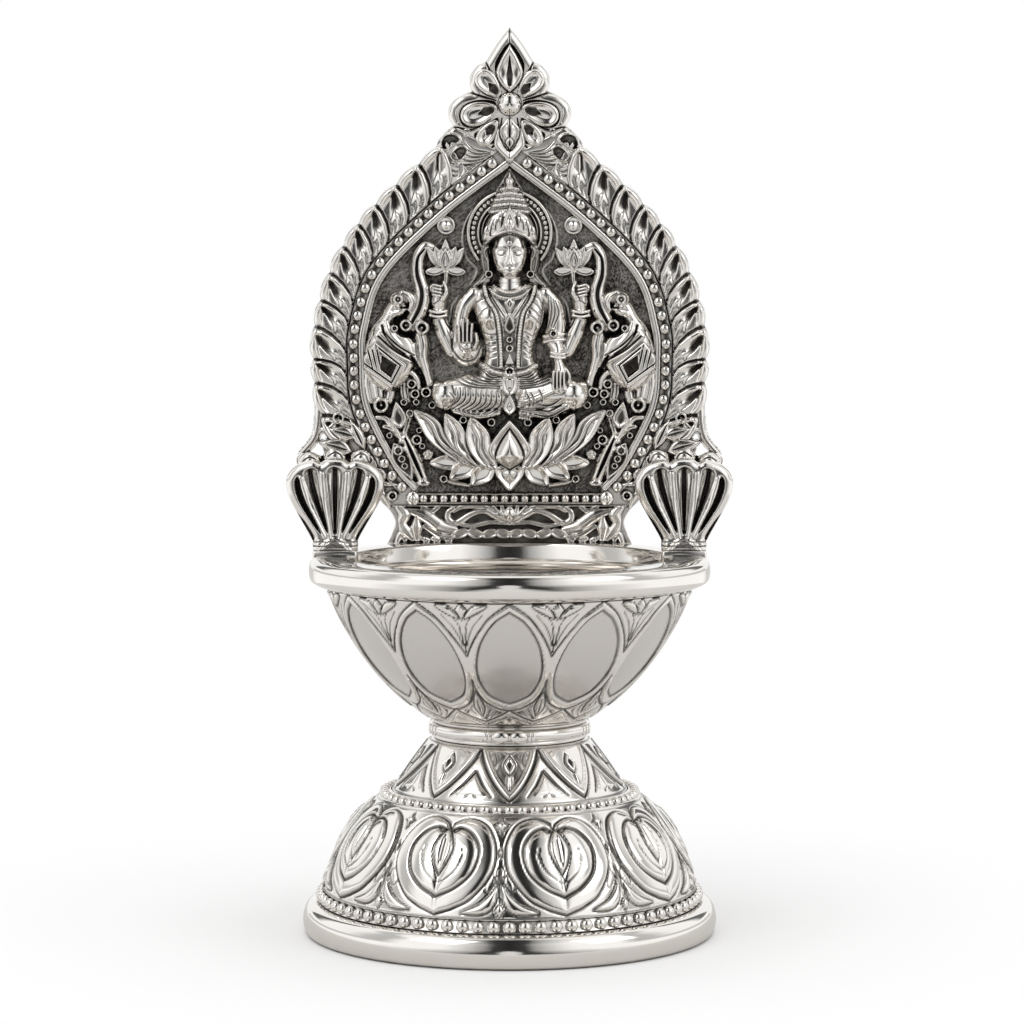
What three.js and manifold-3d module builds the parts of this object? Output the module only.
// A standing oil lamp that screws together: a hollow domed stand, and a bowl that carries an arched back plate.
// Millimetres, +Z up. The origin is the centre of the foot on the surface it stands on, and the lamp faces -Y.
import * as THREE from "three";
import { mergeVertices } from "three/addons/utils/BufferGeometryUtils.js";
import Module from "manifold-3d";

const wasm = await Module();
wasm.setup();

// Stand
const FOOT_R = 34.0; // outer radius of the foot ring
const FOOT_H = 5.35; // height of the shelf on top of the foot ring
const FOOT_WIDTH = 5.0; // radial width of the foot ring
const FOOT_WIRE = 0.95; // half the thickness of the beaded wire on the foot
const FOOT_WIRE_INSET = 3.0; // from the foot's edge to the middle of that wire
const SHEET = 1.0; // wall of the spun dome and cone
const DOME_TOP_R = 21.4;
const DOME_H = 15.45; // from the top of the foot wire to the ledge that carries the cone
const DOME_BULGE = 1.2; // how far the dome wall swells out past a straight line
const SHOULDER_WIRE = 0.75; // half the thickness of the beaded wire round the dome's top
const SHOULDER_WIRE_INSET = 1.1; // from the dome's top edge to the middle of that wire
const LEDGE_W = 3.0; // width of the flat ledge inside the dome's top edge
const CONE_TOP_R = 12.95;
const CONE_H = 9.25;
const CONE_SKIRT = 1.15; // height of the upright skirt at the cone's foot

// Screw joint
const STUD_R = 3.0; // plain radius that stands for the thread
const THREAD_GAP = 0.12; // radial clearance of the stud in the bush
const PITCH_TURNS = 5; // turns that the stud unscrews before its last thread
const PITCH = 1.0; // rise of one turn
const THREAD_LEFT = 1.2; // thread still held after those turns
const BUSH_R = 5.5;
const NECK_R = 13.3; // largest radius of the ring between stand and bowl
const NECK_H = 3.05;
const NECK_WEB = 1.65; // thickness of the ring's floor round the stud
const BOSS_R = 8.8; // disc that carries the stud under the bowl
const SEAM = 0.1; // gap between pieces that seat on each other

// Bowl
const BOWL_BASE_R = 13.0;
const BOWL_TOP_R = 29.9;
const BOWL_H = 21.8;
const BOWL_WALL = 1.2;
const BOWL_BULGE = 2.45; // how far the bowl wall swells out past a straight line
const RIM_R = 32.8; // outer radius of the flat rim
const MOUTH_R = 26.2;
const RIM_H = 3.9;
const RIM_ROUND = 0.45; // small flat chamfer on the rim's edges

// Back plate, in its own plane: x across, v up from the top of the rim
const PLATE_T = 1.4;
const PLATE_SETBACK = 0.2; // front of the plate behind the bowl's mouth
const FIELD_HALF_W = 24.75; // half width of the arched field inside the ridge
const FIELD_TOP = 65.3; // point of the arched field
const FIELD_WIDEST = 32.0; // where the field is widest
const FIELD_BASE_HALF_W = 15.7; // half width of the field at the beaded rail
const RAIL_V = 8.4; // middle of the beaded rail
const RAIL_HALF_H = 0.95;
const RIDGE_W = 1.0;
const BEAD_W = 1.75;
const LEAF_W = 6.1; // width of the leaf border without its scallops
const LEAVES = 12; // leaves on each side of the border
const SCALLOP = 0.7; // how far each leaf stands out past the border
const PLINTH_HALF_W = 21.2;
const PLINTH_WAIST = 19.6;
const FINIAL_H = 88.0; // tip of the finial
const FINIAL_BOSS_V = 75.4;
const FINIAL_BOSS_R = 2.2;
const SCROLL_HALF_W = 36.3; // outer end of the scrolls beside the plinth
const SCROLL_TOP = 16.4;
const SCROLL_TUCK = 2.15; // how far the scroll's inner end lies inside the field's half width
const LEAF_TOP_V = 60.0; // height on the field's edge where the leaf border starts
const LEAF_FOOT_V = 21.0; // and where it ends above the side scroll
const BEAD_TOP_V = 63.9; // where the beads start under the finial

// Height of each applied piece in front of the plate
const RIDGE_D = 1.0;
const BEAD_D = 1.35;
const LEAF_D = 1.9;
const RAIL_D = 1.9;
const PLINTH_D = 1.3;
const FINIAL_D = 1.2;
const SCROLL_D = 2.4;
const HALO_D = 0.9;
const FIT = 0.3; // gap that a piece keeps to the figure it goes round

// Shells on the rim
const SHELL_X = 28.8;
const SHELL_Y = 6.4;
const SHELL_HALF_W = 8.15;
const SHELL_H = 15.7;
const SHELL_FOOT_HALF_W = 3.6;
const SHELL_T = 2.8;
const FLUTES = 5;
const SHELL_BLOCK_D = 7.3; // depth and height of the block that each shell stands on
const SHELL_BLOCK_H = 1.4;

const EDGE_STEPS = 24; // flats along each side of the arched field
const LARGE = 40; // flats round the big turned pieces
const SMALL = 20; // flats round the stud and its bores

// Heights that follow from the sizes above
const DOME_LIP_Z = FOOT_H + 2 * FOOT_WIRE + 1.5 * SEAM;
const LEDGE_Z = DOME_LIP_Z + DOME_H;
const CONE_TOP_Z = LEDGE_Z + SEAM / 2 + CONE_H;
const NECK_Z = CONE_TOP_Z + SEAM;
const BOWL_Z = NECK_Z + NECK_H + SEAM;
const RIM_Z = BOWL_Z + BOWL_H;
const RIM_TOP = RIM_Z + RIM_H;
const PLATE_Y = MOUTH_R + PLATE_SETBACK;

// Radii that follow from them
const FOOT_WIRE_R = FOOT_R - FOOT_WIRE_INSET;
const DOME_FOOT_R = FOOT_WIRE_R - FOOT_WIRE - 2 * SEAM;
const SHOULDER_WIRE_R = DOME_TOP_R - SHOULDER_WIRE_INSET;
const CONE_FOOT_R = SHOULDER_WIRE_R - SHOULDER_WIRE - 2 * SEAM;

const silver = { color: 0xd9d6d0, roughness: 0.22, metalness: 1 };
const darkened = { color: 0x8f8b85, roughness: 0.45, metalness: 1 };

// Solids from geometries, and back again
function solidOf(geometry) {
  const bare = geometry.clone();
  bare.deleteAttribute("normal");
  bare.deleteAttribute("uv");
  const merged = mergeVertices(bare, 1e-4);
  return new wasm.Manifold(
    new wasm.Mesh({
      numProp: 3,
      vertProperties: merged.attributes.position.array,
      triVerts: new Uint32Array(merged.index.array),
    }),
  );
}

function geometryOf(solid) {
  const mesh = solid.getMesh();
  const geometry = new THREE.BufferGeometry();
  geometry.setAttribute("position", new THREE.BufferAttribute(mesh.vertProperties, 3));
  geometry.setIndex(new THREE.BufferAttribute(mesh.triVerts, 1));
  geometry.computeVertexNormals();
  return geometry;
}

const joined = (solids) => solids.reduce((sum, next) => sum.add(next));

// Turned pieces: a closed outline of [radius, height] points, turned round +Z
function turned(outline, flats = LARGE) {
  const area = outline.reduce((sum, [r, z], i) => {
    const [r2, z2] = outline[(i + 1) % outline.length];
    return sum + r * z2 - r2 * z;
  }, 0);
  const points = area > 0 ? outline : [...outline].reverse();
  const profile = [...points, points[0]].map(([r, z]) => new THREE.Vector2(r, z));
  return new THREE.LatheGeometry(profile, flats).rotateX(Math.PI / 2);
}

// Points from one end of a wall to the other, swelling outwards by the bulge at its middle
function bulgedWall([r1, z1], [r2, z2], bulge, steps) {
  const length = Math.hypot(r2 - r1, z2 - z1);
  const out = [(z2 - z1) / length, -(r2 - r1) / length];
  const curve = new THREE.QuadraticBezierCurve(
    new THREE.Vector2(r1, z1),
    new THREE.Vector2((r1 + r2) / 2 + 2 * bulge * out[0], (z1 + z2) / 2 + 2 * bulge * out[1]),
    new THREE.Vector2(r2, z2),
  );
  return curve.getPoints(steps).map((p) => [p.x, p.y]);
}

function wireRing(radius, middleZ, halfThickness) {
  const around = Array.from({ length: 6 }, (_, i) => ((i + 0.5) * Math.PI) / 3);
  const corner = (a) => [radius + halfThickness * Math.cos(a), middleZ + halfThickness * Math.sin(a)];
  return turned(around.map(corner));
}

function footRing() {
  const inner = FOOT_R - FOOT_WIDTH;
  return turned([
    [inner + 0.6, 0],
    [FOOT_R - 0.7, 0],
    [FOOT_R, 1.7],
    [FOOT_R, 3.3],
    [FOOT_R - 0.5, 4.6],
    [FOOT_R - 1.6, FOOT_H],
    [inner, FOOT_H],
    [inner, 0.6],
  ]);
}

// The dome stands on the foot's shelf inside the beaded wire, swells over the wire, and ends in a flat ledge.
function baseDome() {
  const ledgeInner = DOME_TOP_R - LEDGE_W;
  const outer = bulgedWall([DOME_FOOT_R + 1.0, DOME_LIP_Z], [DOME_TOP_R, LEDGE_Z], DOME_BULGE, 6);
  const inner = bulgedWall(
    [DOME_FOOT_R - SHEET, DOME_LIP_Z + SHEET],
    [DOME_TOP_R - 0.8 * SHEET, LEDGE_Z - SHEET],
    DOME_BULGE,
    5,
  );
  return turned([
    [DOME_FOOT_R, FOOT_H + SEAM / 2],
    [DOME_FOOT_R, DOME_LIP_Z],
    ...outer,
    [ledgeInner, LEDGE_Z],
    [ledgeInner, LEDGE_Z - SHEET],
    ...inner.reverse(),
    [DOME_FOOT_R - SHEET, FOOT_H + SEAM / 2],
  ]);
}

function stemCone() {
  const foot = LEDGE_Z + SEAM / 2;
  const bore = STUD_R + 0.4;
  return turned([
    [CONE_FOOT_R, foot],
    [CONE_FOOT_R, foot + CONE_SKIRT],
    [CONE_TOP_R, CONE_TOP_Z],
    [bore, CONE_TOP_Z],
    [bore, CONE_TOP_Z - SHEET],
    [CONE_TOP_R - SHEET, CONE_TOP_Z - SHEET],
    [CONE_FOOT_R - SHEET, foot + CONE_SKIRT],
    [CONE_FOOT_R - SHEET, foot],
  ]);
}

// Bush under the cone's top, and the stud that screws into it from the bowl
const BUSH_TOP = CONE_TOP_Z - SHEET - SEAM / 2;
const BUSH_H = PITCH_TURNS * PITCH + THREAD_LEFT + 0.4;
const STUD_TIP_Z = BUSH_TOP - PITCH_TURNS * PITCH - THREAD_LEFT;

function threadedBush() {
  const bore = STUD_R + THREAD_GAP;
  return turned(
    [
      [bore, BUSH_TOP - BUSH_H],
      [BUSH_R, BUSH_TOP - BUSH_H],
      [BUSH_R, BUSH_TOP],
      [bore, BUSH_TOP],
    ],
    SMALL,
  );
}

function neckRing() {
  const bore = STUD_R + 2 * THREAD_GAP;
  const middle = NECK_Z + NECK_H / 2;
  const recess = BOSS_R + 0.4;
  return turned([
    [bore, NECK_Z],
    [NECK_R - 0.9, NECK_Z],
    [NECK_R - 0.3, middle - 0.9],
    [NECK_R, middle],
    [NECK_R - 0.3, middle + 0.9],
    [NECK_R - 0.9, NECK_Z + NECK_H],
    [recess, NECK_Z + NECK_H],
    [recess, NECK_Z + NECK_WEB],
    [bore, NECK_Z + NECK_WEB],
  ]);
}

const BOSS_TOP = BOWL_Z - SEAM / 2;
const BOSS_BOTTOM = NECK_Z + NECK_WEB + 2 * SEAM;

function studBoss() {
  const bore = STUD_R + SEAM;
  return turned(
    [
      [bore, BOSS_BOTTOM],
      [BOSS_R, BOSS_BOTTOM],
      [BOSS_R, BOSS_TOP],
      [bore, BOSS_TOP],
    ],
    SMALL,
  );
}

function bowlStud() {
  return turned(
    [
      [0, STUD_TIP_Z],
      [STUD_R - 0.5, STUD_TIP_Z],
      [STUD_R, STUD_TIP_Z + 0.5],
      [STUD_R, BOSS_TOP],
      [0, BOSS_TOP],
    ],
    SMALL,
  );
}

function bowl() {
  const top = RIM_Z - SEAM / 2;
  const outer = bulgedWall([BOWL_BASE_R, BOWL_Z], [BOWL_TOP_R, top], BOWL_BULGE, 9);
  const inner = bulgedWall(
    [BOWL_BASE_R - 0.3 * BOWL_WALL, BOWL_Z + BOWL_WALL],
    [BOWL_TOP_R - BOWL_WALL, top],
    BOWL_BULGE,
    7,
  );
  return turned([[0, BOWL_Z], ...outer, ...inner.reverse(), [0, BOWL_Z + BOWL_WALL]]);
}

function bowlRim() {
  return turned([
    [BOWL_TOP_R - 2.0, RIM_Z],
    [BOWL_TOP_R + 1.0, RIM_Z],
    [RIM_R - 0.5, RIM_Z + 0.7],
    [RIM_R, RIM_Z + 1.6],
    [RIM_R, RIM_TOP - 0.7],
    [RIM_R - RIM_ROUND, RIM_TOP],
    [MOUTH_R + RIM_ROUND, RIM_TOP],
    [MOUTH_R, RIM_TOP - RIM_ROUND],
  ]);
}

// Pieces on the plate: an outline in x and v, standing forward from the plate's front by the given height
function standing(outline, height, y = PLATE_Y) {
  const shape = new THREE.Shape(outline.map(([x, v]) => new THREE.Vector2(x, v)));
  const geometry = new THREE.ExtrudeGeometry(shape, { depth: height, bevelEnabled: false, steps: 1 });
  return onPlate(geometry, y);
}

// Turns a geometry from (x, v, forward) to the lamp's own (x, y, z)
function onPlate(geometry, y = PLATE_Y) {
  const p = geometry.attributes.position;
  for (let i = 0; i < p.count; i += 1) {
    p.setXYZ(i, p.getX(i), y - p.getZ(i), RIM_TOP + p.getY(i));
  }
  return geometry;
}

const mirrorX = (outline) => outline.map(([x, v]) => [-x, v]).reverse();

function smooth(points, steps) {
  const curve = new THREE.SplineCurve(points.map(([x, v]) => new THREE.Vector2(x, v)));
  return curve.getSpacedPoints(steps).map((p) => [p.x, p.y]);
}

// Right half of the field's edge, from its point down to the end of the rail
const FIELD_EDGE = new THREE.SplineCurve(
  [
    [0, FIELD_TOP],
    [0.476 * FIELD_HALF_W, FIELD_TOP - 9.1],
    [0.86 * FIELD_HALF_W, FIELD_TOP - 18.8],
    [0.985 * FIELD_HALF_W, FIELD_WIDEST + 5.8],
    [FIELD_HALF_W, FIELD_WIDEST],
    [0.97 * FIELD_HALF_W, FIELD_WIDEST - 7.9],
    [0.775 * FIELD_HALF_W, RAIL_V + 6.0],
    [FIELD_BASE_HALF_W, RAIL_V + RAIL_HALF_H + 0.9],
  ].map(([x, v]) => new THREE.Vector2(x, v)),
);

// Share of the edge's length from its point down to height v
function edgeShareAt(v) {
  let above = 0;
  let below = 1;
  while (below - above > 1e-6) {
    const middle = (above + below) / 2;
    if (FIELD_EDGE.getPointAt(middle).y > v) above = middle;
    else below = middle;
  }
  return below;
}

const edgeHalfWidthAt = (v) => FIELD_EDGE.getPointAt(edgeShareAt(v)).x;

// Shares of the edge at which every border has a corner, so that borders side by side have parallel sides
function stations(from, to, steps) {
  const inside = Array.from({ length: steps - 1 }, (_, i) => (i + 1) / steps).filter((t) => t > from && t < to);
  return [from, ...inside, to];
}

// The field's edge moved outwards by a distance that may change along it
function edgeAt(distance, steps = EDGE_STEPS, from = 0, to = 1) {
  return stations(from, to, steps).map((t) => {
    const p = FIELD_EDGE.getPointAt(t);
    const d = FIELD_EDGE.getTangentAt(t);
    const away = typeof distance === "function" ? distance(t) : distance;
    return [Math.max(p.x - away * d.y, 0), p.y + away * d.x];
  });
}

// Share of the edge down to where it, moved outwards by a distance, is still above height v
function lastShareAbove(v, distance) {
  const step = 0.002;
  let share = 1;
  while (edgeAt(distance, 1, 0, share)[1][1] < v) share -= step;
  return share;
}

const band = (near, far) => [...near, ...[...far].reverse()];

// Distances outwards from the field's edge
const BEAD_IN = RIDGE_W + SEAM;
const BEAD_OUT = BEAD_IN + BEAD_W;
const LEAF_IN = BEAD_OUT + SEAM;
const BEAD_START = edgeShareAt(BEAD_TOP_V);
const LEAF_START = edgeShareAt(LEAF_TOP_V);
const LEAF_END = edgeShareAt(LEAF_FOOT_V);
const BEAD_END = lastShareAbove(RAIL_V + RAIL_HALF_H + SEAM, BEAD_OUT);
const leafOut = (t) => {
  const share = Math.min(Math.max((t - LEAF_START) / (LEAF_END - LEAF_START), 0), 1);
  const narrow = Math.min(1, 0.55 + 4 * share);
  return LEAF_IN + LEAF_W * narrow + SCALLOP * (Math.abs(Math.sin(share * LEAVES * Math.PI)) - 0.5);
};

function innerRidge() {
  const near = edgeAt(0);
  const far = edgeAt(RIDGE_W);
  const top = [0, FIELD_TOP + 1.35 * RIDGE_W];
  const nearAll = [...mirrorX(near.slice(1)), ...near];
  const farAll = [...mirrorX(far.slice(1)), top, ...far.slice(1)];
  return standing(band(nearAll, farAll), RIDGE_D);
}

const beadBorder = () =>
  band(
    edgeAt(BEAD_IN, EDGE_STEPS, BEAD_START, BEAD_END),
    edgeAt(BEAD_OUT, EDGE_STEPS, BEAD_START, BEAD_END),
  );
const leafBorder = () =>
  band(
    edgeAt(LEAF_IN, EDGE_STEPS, LEAF_START, LEAF_END),
    edgeAt(leafOut, 3 * EDGE_STEPS, LEAF_START, LEAF_END),
  );

// Finial outline, right half from its tip down
function finialHalf() {
  return [
    [0, FINIAL_H],
    [3.7, FINIAL_H - 5.5],
    [6.3, FINIAL_BOSS_V + 4.3],
    [6.3, FINIAL_BOSS_V + 2.4],
    [9.3, FINIAL_BOSS_V + 1.0],
    [10.2, FINIAL_BOSS_V - 1.8],
    [9.0, FINIAL_BOSS_V - 4.0],
    [6.6, FINIAL_BOSS_V - 4.9],
    [3.6, FINIAL_BOSS_V - 7.1],
  ];
}

const FINIAL_FOOT = [0, FIELD_TOP + 1.6];
const finialOutline = () => [...finialHalf(), FINIAL_FOOT, ...mirrorX(finialHalf().slice(1))];

function plinthSide() {
  return [
    [PLINTH_HALF_W, 0],
    [PLINTH_WAIST + 0.4, 2.4],
    [PLINTH_WAIST, 4.4],
    [PLINTH_WAIST + 1.2, 6.4],
    [PLINTH_HALF_W + 1.2, RAIL_V],
    [PLINTH_HALF_W + 3.0, RAIL_V + 2.8],
    [SCROLL_HALF_W - 8.0, SCROLL_TOP - 3.4],
    [SCROLL_HALF_W - 5.0, SCROLL_TOP - 1.4],
  ];
}

function backPlate() {
  const border = edgeAt((t) => leafOut(t) - 0.9, 42, LEAF_START + 0.03, LEAF_END - 0.02).reverse();
  const half = [...plinthSide(), ...border, [9.6, FINIAL_BOSS_V - 6.3]];
  const finial = finialHalf()
    .slice(1, 8)
    .reverse()
    .map(([x, v]) => [x - 0.35, v]);
  const right = [...half, ...finial, [0, FINIAL_H - 0.5]];
  return standing([...right, ...mirrorX(right.slice(0, -1))], PLATE_T, PLATE_Y + PLATE_T);
}

function beadRail() {
  const end = FIELD_BASE_HALF_W + 0.9;
  const low = RAIL_V - RAIL_HALF_H;
  const high = RAIL_V + RAIL_HALF_H;
  return standing(
    [
      [-end, low],
      [end, low],
      [end + 0.6, RAIL_V],
      [end, high],
      [-end, high],
      [-end - 0.6, RAIL_V],
    ],
    RAIL_D,
  );
}

function plinthScroll() {
  const top = RAIL_V - RAIL_HALF_H - 0.15;
  return standing(
    [
      [-PLINTH_HALF_W + 0.9, 0.5],
      [PLINTH_HALF_W - 0.9, 0.5],
      [PLINTH_WAIST - 0.7, 3.2],
      [PLINTH_WAIST - 0.5, 5.4],
      [PLINTH_WAIST + 0.3, top],
      [-PLINTH_WAIST - 0.3, top],
      [-PLINTH_WAIST + 0.5, 5.4],
      [-PLINTH_WAIST + 0.7, 3.2],
    ],
    PLINTH_D,
  );
}

// Scroll with three lobes beside the plinth, right side
function sideScroll() {
  const inner = FIELD_HALF_W - SCROLL_TUCK;
  const across = (share) => inner + share * (SCROLL_HALF_W - inner);
  return smooth(
    [
      [across(0.06), RAIL_V + 4.2],
      [across(0), SCROLL_TOP - 2.8],
      [across(0.18), SCROLL_TOP - 0.1],
      [across(0.35), SCROLL_TOP - 0.9],
      [across(0.52), SCROLL_TOP],
      [across(0.69), SCROLL_TOP - 1.1],
      [across(0.83), SCROLL_TOP - 0.5],
      [across(1), SCROLL_TOP - 2.2],
      [across(0.91), SCROLL_TOP - 4.6],
      [across(0.54), RAIL_V + 3.2],
    ],
    26,
  );
}

// Rounded forms on the plate, placed by x, v and distance forward
function blob(x, v, forward, rx, rv, rd, turn = 0, around = 8) {
  const ball = new THREE.SphereGeometry(1, around, 5).scale(rx, rv, rd);
  return solidOf(onPlate(ball.rotateZ(turn).translate(x, v, forward)));
}

// A limb that tapers from one point to another, with a round end at the second
function limb(from, to, startR, endR, sides = 6) {
  const a = new THREE.Vector3(...from);
  const b = new THREE.Vector3(...to);
  const along = b.clone().sub(a);
  const tube = new THREE.CylinderGeometry(endR, startR, along.length(), sides);
  tube.applyQuaternion(
    new THREE.Quaternion().setFromUnitVectors(new THREE.Vector3(0, 1, 0), along.clone().normalize()),
  );
  tube.translate(...a.clone().add(b).multiplyScalar(0.5).toArray());
  return solidOf(onPlate(tube)).add(blob(...to, endR, endR, endR, 0, sides));
}

// Everything behind the plate's front, for cutting relief flat
function behindPlate() {
  const slab = new THREE.BoxGeometry(200, 200, 40).translate(0, 50, -20);
  return solidOf(onPlate(slab));
}

const BEHIND = behindPlate();
const relief = (parts) => joined(parts).subtract(BEHIND);

// Places of the seated figure, in x, v and distance forward
const HEAD_V = 49.8;
const CROWN_TIP_V = 62.6;
const SHOULDER = [7.3, 41.9, 2.0];
const ELBOW = [9.3, 34.6, 2.2];
const RAISED_HAND = [11.9, 43.4, 1.8];
const KNEE = [10.5, 25.5, 2.6];
const LAP_V = 25.0;

// The figure; grow adds that much to every part, which makes the clearance cut round it
function seatedFigure(grow = 0) {
  const g = grow;
  const both = (make) => [make(-1), make(1)];
  const side = (s, [x, v, d]) => [s * x, v, d];
  return relief([
    blob(0, LAP_V, 1.6, 9.6 + g, 2.7 + g, 3.6 + g),
    ...both((s) => blob(...side(s, KNEE), 3.1 + g, 2.5 + g, 2.9 + g)),
    blob(0, 31.0, 1.4, 4.9 + g, 5.6 + g, 3.4 + g),
    blob(0, 38.6, 1.4, 6.2 + g, 4.9 + g, 3.7 + g),
    ...both((s) => limb([0, 41.9, 1.6], side(s, SHOULDER), 2.0 + g, 1.9 + g)),
    limb([0, 43.0, 1.4], [0, 47.0, 2.2], 1.7 + g, 1.5 + g),
    blob(0, HEAD_V, 2.4, 3.3 + g, 4.1 + g, 3.2 + g),
    limb([0, HEAD_V + 3.0, 1.9], [0, CROWN_TIP_V - 0.5, 1.2], 3.0 + g, 0.5 + g),
    ...both((s) => limb(side(s, SHOULDER), side(s, ELBOW), 1.8 + g, 1.3 + g)),
    ...both((s) => limb(side(s, ELBOW), side(s, RAISED_HAND), 1.2 + g, 1.2 + g)),
    limb([-9.0, 33.4, 2.2], [-7.2, 35.8, 4.2], 1.4 + g, 1.6 + g),
    limb([8.6, 34.4, 2.4], [8.8, 28.0, 4.4], 1.4 + g, 1.2 + g),
  ]);
}

const FIGURE = seatedFigure();
const ROUND_FIGURE = seatedFigure(FIT);

function halo() {
  const outer = 7.1;
  const inner = 5.2;
  const ring = Array.from({ length: 33 }, (_, i) => {
    const a = ((-38 + (256 * i) / 32) * Math.PI) / 180;
    return [Math.cos(a), Math.sin(a)];
  });
  const middle = HEAD_V + 3.6;
  const outline = band(
    ring.map(([c, s]) => [outer * c, middle + outer * s]),
    ring.map(([c, s]) => [inner * c, middle + inner * s]),
  );
  return solidOf(standing(outline, HALO_D));
}

// A petal from its root to its tip, both given in x and v
function petal([x, v], [tipX, tipV], width, forward, thick) {
  const length = Math.hypot(tipX - x, tipV - v);
  const lean = Math.atan2(tipX - x, tipV - v);
  return blob((x + tipX) / 2, (v + tipV) / 2, forward, width / 2, length / 2, thick, -lean);
}

// Root, tip, width and distance forward of each petal of the seat, middle first and then its right side
const UPPER_PETALS = [
  [[0, 13.6], [0, 21.9], 4.9, 3.6],
  [[2.6, 13.9], [6.6, 22.2], 4.2, 2.9],
  [[5.0, 13.7], [11.5, 23.2], 3.6, 2.1],
  [[5.6, 13.6], [15.6, 23.2], 3.0, 1.5],
];
const LOWER_PETALS = [
  [[0, 14.2], [0, 10.6], 4.5, 3.0],
  [[3.0, 14.0], [6.3, 11.3], 2.8, 2.4],
  [[5.6, 14.1], [10.2, 12.1], 2.4, 1.8],
  [[6.8, 14.5], [13.6, 14.2], 2.4, 1.3],
];

function lotusSeat() {
  const row = (petals, thick) =>
    petals.flatMap(([root, tip, width, forward]) => {
      const make = (side) => petal([side * root[0], root[1]], [side * tip[0], tip[1]], width, forward, thick);
      return tip[0] === 0 ? [make(1)] : [make(1), make(-1)];
    });
  const core = blob(0, 14.4, 0.6, 8.5, 2.6, 3.0);
  return relief([core, ...row(UPPER_PETALS, 2.2), ...row(LOWER_PETALS, 1.7)]).subtract(ROUND_FIGURE);
}

// A flower standing on a raised hand, right side
function heldLotus() {
  const foot = [RAISED_HAND[0] - 0.3, RAISED_HAND[1] + 1.9];
  const cup = [foot[0] - 0.6, foot[1] + 1.6];
  const petals = [0, 1.9, -1.9, 3.0, -3.0].map((across) => {
    return petal(cup, [cup[0] + across, cup[1] + 3.4 - 0.4 * Math.abs(across)], 1.7, 1.0, 1.2);
  });
  return relief([...petals, limb([...foot, 0.7], [...cup, 0.9], 0.45, 0.5)]);
}

// An elephant rearing towards the middle with its trunk raised, right side. Its x is given as a distance in from
// the field's widest edge.
const fromEdge = ([inward, v, forward]) => [FIELD_HALF_W - inward, v, forward];
const TRUNK = [
  [7.15, 37.0, 1.5],
  [8.65, 40.4, 1.3],
  [9.25, 45.2, 1.1],
  [9.45, 49.8, 1.0],
  [11.05, 51.6, 1.0],
].map(fromEdge);

function tube(points, radius, steps, sides = 6) {
  const path = new THREE.CatmullRomCurve3(points.map((p) => new THREE.Vector3(...p)));
  const ring = Array.from({ length: sides }, (_, i) => (2 * Math.PI * i) / sides);
  const corners = ring.map((a) => new THREE.Vector2(radius * Math.cos(a), radius * Math.sin(a)));
  const options = { steps, extrudePath: path, bevelEnabled: false };
  return solidOf(onPlate(new THREE.ExtrudeGeometry(new THREE.Shape(corners), options)));
}

function elephant() {
  return relief([
    blob(...fromEdge([4.25, 32.0, 1.0]), 3.7, 5.6, 2.5, 0.35),
    blob(...fromEdge([6.15, 38.6, 1.2]), 2.4, 3.0, 2.3),
    blob(...fromEdge([5.35, 41.9, 1.0]), 1.9, 1.8, 1.6),
    tube(TRUNK, 0.9, 12),
    limb(fromEdge([6.15, 35.0, 1.2]), fromEdge([9.15, 34.6, 1.2]), 1.3, 0.9),
    limb(fromEdge([6.55, 30.6, 1.0]), fromEdge([9.15, 27.0, 1.0]), 1.2, 0.8),
    limb(fromEdge([3.45, 28.6, 0.9]), fromEdge([3.85, 23.0, 0.9]), 1.4, 1.1),
  ]);
}

// Leafy plant between the seat and the field's edge, right side
function plant() {
  const beside = (inward, v, forward) => [edgeHalfWidthAt(v) - inward, v, forward];
  return relief([
    limb(beside(1.8, 12.7, 0.6), beside(2.3, 17.0, 0.8), 0.7, 0.6),
    blob(...beside(2.95, 18.6, 0.8), 1.3, 1.9, 1.3, 0.2),
    blob(...beside(2.1, 15.4, 0.7), 1.0, 1.6, 1.1, 0.6),
  ]);
}

function roundDisc() {
  return blob(10.9, 54.9, 0.3, 1.6, 1.6, 1.1).subtract(BEHIND);
}

// Finial petals, in front of the finial plate
function finialRelief(parts) {
  const slab = new THREE.BoxGeometry(200, 200, 40).translate(0, 80, FINIAL_D - 20);
  return joined(parts).subtract(solidOf(onPlate(slab)));
}

const GAP_ROUND_BOSS = FINIAL_BOSS_R + 0.25;

function finialTopLeaf() {
  return finialRelief([blob(0, FINIAL_BOSS_V + GAP_ROUND_BOSS + 4.3, FINIAL_D + 0.4, 2.0, 4.2, 1.3)]);
}

function finialLowerLeaf() {
  return finialRelief([blob(0, FINIAL_BOSS_V - GAP_ROUND_BOSS - 2.1, FINIAL_D + 0.4, 1.9, 2.0, 1.2)]);
}

// Right side: an upper round lobe, the big side lobe and a small lower petal
function finialPetals() {
  return finialRelief([
    blob(4.6, FINIAL_BOSS_V + 3.4, FINIAL_D + 0.4, 1.9, 1.9, 1.2),
    blob(6.7, FINIAL_BOSS_V - 0.9, FINIAL_D + 0.4, 2.9, 2.1, 1.3, -0.3),
    blob(3.6, FINIAL_BOSS_V - 4.2, FINIAL_D + 0.4, 1.3, 2.0, 1.1, 0.7),
    blob(4.2, FINIAL_BOSS_V - 0.5, FINIAL_D, 1.5, 4.2, 0.9),
  ]);
}

function finialBoss() {
  return finialRelief([blob(0, FINIAL_BOSS_V, FINIAL_D + 0.3, FINIAL_BOSS_R, FINIAL_BOSS_R, 2.0)]);
}

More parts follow.
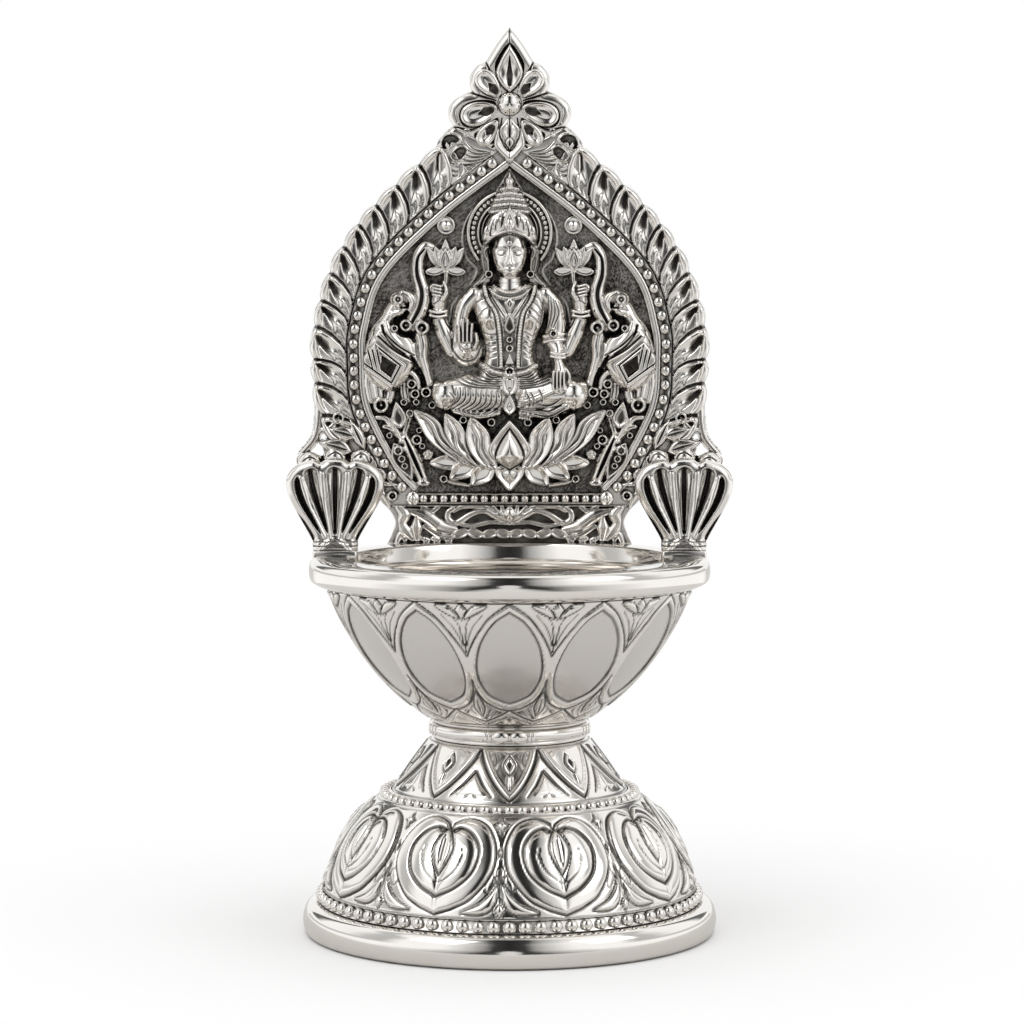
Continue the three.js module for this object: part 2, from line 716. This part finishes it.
// A shell on the rim, right side: a fluted fan on a small block
function shell() {
  const half = [
    [0, SHELL_H + 0.2],
    [1.3, SHELL_H + 0.1],
    [2.3, SHELL_H - 0.5],
    [4.0, SHELL_H + 0.1],
    [6.2, SHELL_H - 1.0],
    [SHELL_HALF_W - 0.6, SHELL_H - 2.4],
    [SHELL_HALF_W, SHELL_H - 4.2],
    [SHELL_HALF_W - 0.6, SHELL_H - 6.6],
    [SHELL_HALF_W - 3.1, 5.4],
    [SHELL_FOOT_HALF_W, 3.2],
    [SHELL_FOOT_HALF_W - 0.4, 1.8],
    [SHELL_FOOT_HALF_W, 0],
  ];
  const outline = [...half, ...mirrorX(half.slice(1))].map(([x, v]) => [x + SHELL_X, v]);
  const fan = solidOf(standing(outline, SHELL_T, SHELL_Y + SHELL_T / 2));
  const block = new THREE.BoxGeometry(2 * SHELL_FOOT_HALF_W - 1.4, SHELL_BLOCK_D, SHELL_BLOCK_H);
  block.translate(SHELL_X, SHELL_Y, RIM_TOP + SHELL_BLOCK_H / 2);
  const flutes = Array.from({ length: FLUTES }, (_, i) => {
    const lean = (i - (FLUTES - 1) / 2) * 0.24;
    const reach = SHELL_H - 4.6 - 1.1 * Math.abs(i - (FLUTES - 1) / 2);
    const groove = new THREE.CylinderGeometry(1.15, 0.25, reach, 6).scale(1, 1, 0.8);
    groove.translate(0, reach / 2, 0).rotateZ(-lean);
    return solidOf(onPlate(groove.translate(SHELL_X + 1.4 * lean, 3.2, 0), SHELL_Y - SHELL_T / 2));
  });
  return flutes.reduce((rest, groove) => rest.subtract(groove), fan.add(solidOf(block)));
}

// The lamp as a scene
const lamp = new THREE.Group();

function add(name, geometry, look = silver) {
  const mesh = new THREE.Mesh(geometry, new THREE.MeshStandardMaterial(look));
  mesh.name = name;
  lamp.add(mesh);
}

// Adds a right-hand piece and its mirror image; left is -X, as seen from the front
function addPair(name, solid, look = silver) {
  add(name + "_right", geometryOf(solid), look);
  add(name + "_left", geometryOf(solid.mirror([1, 0, 0])), look);
}

add("foot_ring", footRing());
add("foot_bead_ring", wireRing(FOOT_WIRE_R, FOOT_H + SEAM / 2 + FOOT_WIRE, FOOT_WIRE));
add("base_dome", baseDome());
add("shoulder_bead_ring", wireRing(SHOULDER_WIRE_R, LEDGE_Z + SEAM / 2 + SHOULDER_WIRE, SHOULDER_WIRE));
add("stem_cone", stemCone());
add("threaded_bush", threadedBush(), darkened);
add("neck_ring", neckRing());
add("stud_boss", studBoss(), darkened);
add("bowl_stud", bowlStud(), darkened);
add("bowl", bowl());
add("bowl_rim", bowlRim());
add("back_plate", backPlate(), darkened);
add("inner_ridge", innerRidge());
add("bead_rail", beadRail());
add("plinth_scroll", plinthScroll());
add("finial_plate", standing(finialOutline(), FINIAL_D), darkened);
add("finial_top_leaf", geometryOf(finialTopLeaf()));
add("finial_lower_leaf", geometryOf(finialLowerLeaf()));
add("finial_boss", geometryOf(finialBoss()));
add("seated_figure", geometryOf(FIGURE));
add("halo", geometryOf(halo().subtract(ROUND_FIGURE)));
add("lotus_seat", geometryOf(lotusSeat()));
addPair("finial_petals", finialPetals());
addPair("bead_border", solidOf(standing(beadBorder(), BEAD_D)));
addPair("leaf_border", solidOf(standing(leafBorder(), LEAF_D)));
addPair("side_scroll", solidOf(standing(sideScroll(), SCROLL_D)));
addPair("held_lotus", heldLotus());
addPair("elephant", elephant());
addPair("plant", plant());
addPair("sky_disc", roundDisc());
addPair("shell", shell());

export default lamp;
